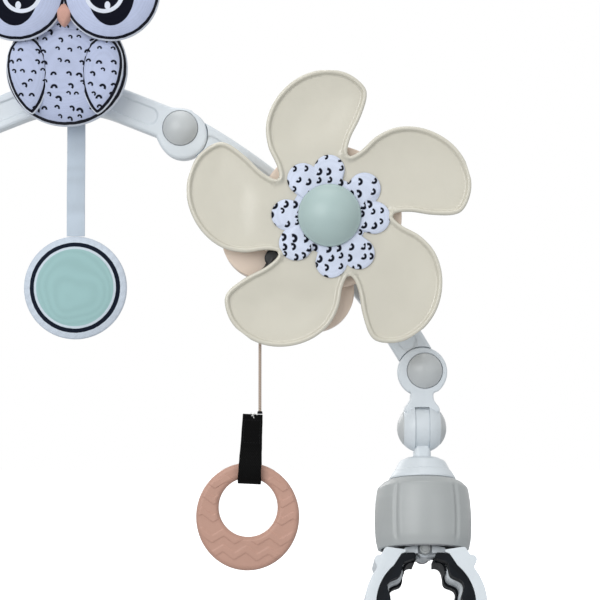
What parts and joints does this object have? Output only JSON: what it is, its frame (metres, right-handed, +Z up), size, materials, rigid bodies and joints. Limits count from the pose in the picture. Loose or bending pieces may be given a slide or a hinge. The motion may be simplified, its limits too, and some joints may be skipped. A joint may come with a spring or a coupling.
{
  "type": "stroller arch toy",
  "caption": "Jointed toy arch on two screw clamps, with a spinning flower, a pull ring on a cord, a stuffed bird and a hanging disc.",
  "frame": {"origin": "midway between the centres of the two clamps' grips", "axes": "+X towards the clamp under the flower, +Y away from the viewer along the stroller's rails, +Z up"},
  "size_m": [0.4534, 0.0634, 0.3918],
  "materials": {
    "white_plastic": "satin moulded white",
    "grey_plastic": "satin moulded grey",
    "black_rubber": "matte black",
    "steel": "plain",
    "cream_plastic": "gloss cream",
    "mint_plastic": "satin mint",
    "casing_plastic": "pinkish beige",
    "white_cloth": "printed woven cloth",
    "mint_cloth": "printed woven cloth",
    "black_webbing": "black webbing",
    "cord": "braided cord",
    "pink_silicone": "soft satin pink"
  },
  "bodies": {
    "right_clamp": {"right_clamp_core": "white_plastic", "right_jaw_pin": "grey_plastic", "right_jaw_spring": "steel"},
    "right_thrust": {"right_thrust_ring": "steel"},
    "right_knob": {"right_knob": "grey_plastic"},
    "right_outer_jaw": {"right_outer_jaw": "white_plastic", "right_outer_pad": "black_rubber"},
    "right_inner_jaw": {"right_inner_jaw": "white_plastic", "right_inner_pad": "black_rubber"},
    "right_link": {"right_link": "white_plastic", "right_elbow_cap": "grey_plastic", "right_elbow_back_cap": "grey_plastic", "right_swivel_cap": "grey_plastic", "right_swivel_inner_cap": "grey_plastic"},
    "right_arm": {"right_arm": "white_plastic", "casing_front": "casing_plastic", "casing_back": "casing_plastic", "casing_screw_1": "steel", "casing_screw_2": "steel", "spinner_collar": "casing_plastic", "cord_guide": "black_rubber", "recoil_spring": "steel"},
    "flower": {"petals": "cream_plastic", "fabric_flower": "white_cloth", "hub_dome": "mint_plastic", "spinner_axle": "grey_plastic"},
    "spool": {"cord_spool": "white_plastic"},
    "cord": {"pull_cord": "cord"},
    "strap": {"pull_strap": "black_webbing"},
    "ring": {"pull_ring": "pink_silicone"},
    "bridge": {"bridge": "white_plastic", "right_shoulder_cap": "grey_plastic", "right_shoulder_back_cap": "grey_plastic", "left_shoulder_cap": "grey_plastic", "left_shoulder_back_cap": "grey_plastic", "bird_tie": "white_cloth", "bird_body": "white_cloth", "bird_head": "white_cloth", "right_eye_lobe": "white_cloth", "left_eye_lobe": "white_cloth", "right_wing": "white_cloth", "left_wing": "white_cloth", "beak": "grey_plastic"},
    "disc": {"disc_ribbon": "black_webbing", "hanging_disc": "mint_cloth"},
    "left_arm": {"left_arm": "white_plastic"},
    "left_link": {"left_link": "white_plastic", "left_elbow_cap": "grey_plastic", "left_elbow_back_cap": "grey_plastic", "left_swivel_cap": "grey_plastic", "left_swivel_inner_cap": "grey_plastic"},
    "left_clamp": {"left_clamp_core": "white_plastic", "left_jaw_pin": "grey_plastic", "left_jaw_spring": "steel"},
    "left_thrust": {"left_thrust_ring": "steel"},
    "left_knob": {"left_knob": "grey_plastic"},
    "left_outer_jaw": {"left_outer_jaw": "white_plastic", "left_outer_pad": "black_rubber"},
    "left_inner_jaw": {"left_inner_jaw": "white_plastic", "left_inner_pad": "black_rubber"}
  },
  "joints": [
    {"name": "right_tilt", "type": "hinge", "parent": "right_clamp", "child": "right_link", "pos_m": [0.1932, 0.01872, 0.0963], "axis": [-1, 0, 0], "range_deg": [-40, 60]},
    {"name": "right_elbow", "type": "hinge", "parent": "right_link", "child": "right_arm", "pos_m": [0.1934, 0.01872, 0.127], "axis": [0, -1, 0], "range_deg": [-30, 10]},
    {"name": "right_shoulder", "type": "hinge", "parent": "right_arm", "child": "bridge", "pos_m": [0.06211, 0.01872, 0.25739], "axis": [0, -1, 0], "range_deg": [-25, 20]},
    {"name": "left_shoulder", "type": "hinge", "parent": "bridge", "child": "left_arm", "pos_m": [-0.06211, 0.01872, 0.25739], "axis": [0, -1, 0], "range_deg": [-25, 20]},
    {"name": "left_elbow", "type": "hinge", "parent": "left_arm", "child": "left_link", "pos_m": [-0.1934, 0.01872, 0.127], "axis": [0, -1, 0], "range_deg": [-30, 10]},
    {"name": "left_tilt", "type": "hinge", "parent": "left_link", "child": "left_clamp", "pos_m": [-0.1932, 0.01872, 0.0963], "axis": [1, 0, 0], "range_deg": [-40, 60]},
    {"name": "flower_spin", "type": "hinge", "parent": "right_arm", "child": "flower", "pos_m": [0.1423, -0.01398, 0.21015], "axis": [0, -1, 0], "continuous": true},
    {"name": "cord_swing", "type": "hinge", "parent": "right_arm", "child": "cord", "pos_m": [0.105, -0.00798, 0.17635], "axis": [0, 1, 0], "range_deg": [-8, 8]},
    {"name": "ring_pull", "type": "slide", "parent": "cord", "child": "strap", "axis": [0, 0, -1], "range_m": [0, 0.15], "stiffness_N_per_m": 10, "springref_m": -0.06, "deforming": ["pull_cord"]},
    {"name": "ring_swing", "type": "hinge", "parent": "strap", "child": "ring", "pos_m": [0.09972, -0.00798, 0.07389], "axis": [0.9988, 0, -0.0489], "range_deg": [-50, 50]},
    {"name": "spool_spin", "type": "hinge", "parent": "right_arm", "child": "spool", "pos_m": [0.1062, 0.00942, 0.19905], "axis": [0, -1, 0], "range_deg": [0, 1080]},
    {"name": "disc_swing", "type": "hinge", "parent": "bridge", "child": "disc", "pos_m": [0.003, 0.01872, 0.26746], "axis": [1, 0, 0], "range_deg": [-30, 30]},
    {"name": "right_knob_travel", "type": "slide", "parent": "right_clamp", "child": "right_thrust", "axis": [0, -0.1908, -0.9816], "range_m": [0, 0.0033]},
    {"name": "right_knob_turn", "type": "hinge", "parent": "right_thrust", "child": "right_knob", "pos_m": [0.1932, 0.00559, 0.02876], "axis": [0, -0.1908, -0.9816], "range_deg": [0, 540]},
    {"name": "right_outer_grip", "type": "hinge", "parent": "right_clamp", "child": "right_outer_jaw", "pos_m": [0.1932, 0.00569, 0.02925], "axis": [0, 0.9816, -0.1908], "range_deg": [0, 8]},
    {"name": "right_inner_grip", "type": "hinge", "parent": "right_clamp", "child": "right_inner_jaw", "pos_m": [0.1932, 0.00569, 0.02925], "axis": [0, -0.9816, 0.1908], "range_deg": [0, 8]},
    {"name": "left_knob_travel", "type": "slide", "parent": "left_clamp", "child": "left_thrust", "axis": [0, -0.1908, -0.9816], "range_m": [0, 0.0033]},
    {"name": "left_knob_turn", "type": "hinge", "parent": "left_thrust", "child": "left_knob", "pos_m": [-0.1932, 0.00559, 0.02876], "axis": [0, -0.1908, -0.9816], "range_deg": [0, 540]},
    {"name": "left_outer_grip", "type": "hinge", "parent": "left_clamp", "child": "left_outer_jaw", "pos_m": [-0.1932, 0.00569, 0.02925], "axis": [0, -0.9816, 0.1908], "range_deg": [0, 8]},
    {"name": "left_inner_grip", "type": "hinge", "parent": "left_clamp", "child": "left_inner_jaw", "pos_m": [-0.1932, 0.00569, 0.02925], "axis": [0, 0.9816, -0.1908], "range_deg": [0, 8]}
  ],
  "couplings": [
    {"joint": "spool_spin", "follows": "ring_pull", "rad_per_m": 125},
    {"joint": "right_outer_grip", "follows": "right_knob_turn", "ratio": 0.014815},
    {"joint": "right_inner_grip", "follows": "right_knob_turn", "ratio": 0.014815},
    {"joint": "right_knob_travel", "follows": "right_knob_turn", "m_per_rad": 0.00035014},
    {"joint": "left_outer_grip", "follows": "left_knob_turn", "ratio": 0.014815},
    {"joint": "left_inner_grip", "follows": "left_knob_turn", "ratio": 0.014815},
    {"joint": "left_knob_travel", "follows": "left_knob_turn", "m_per_rad": 0.00035014}
  ]
}
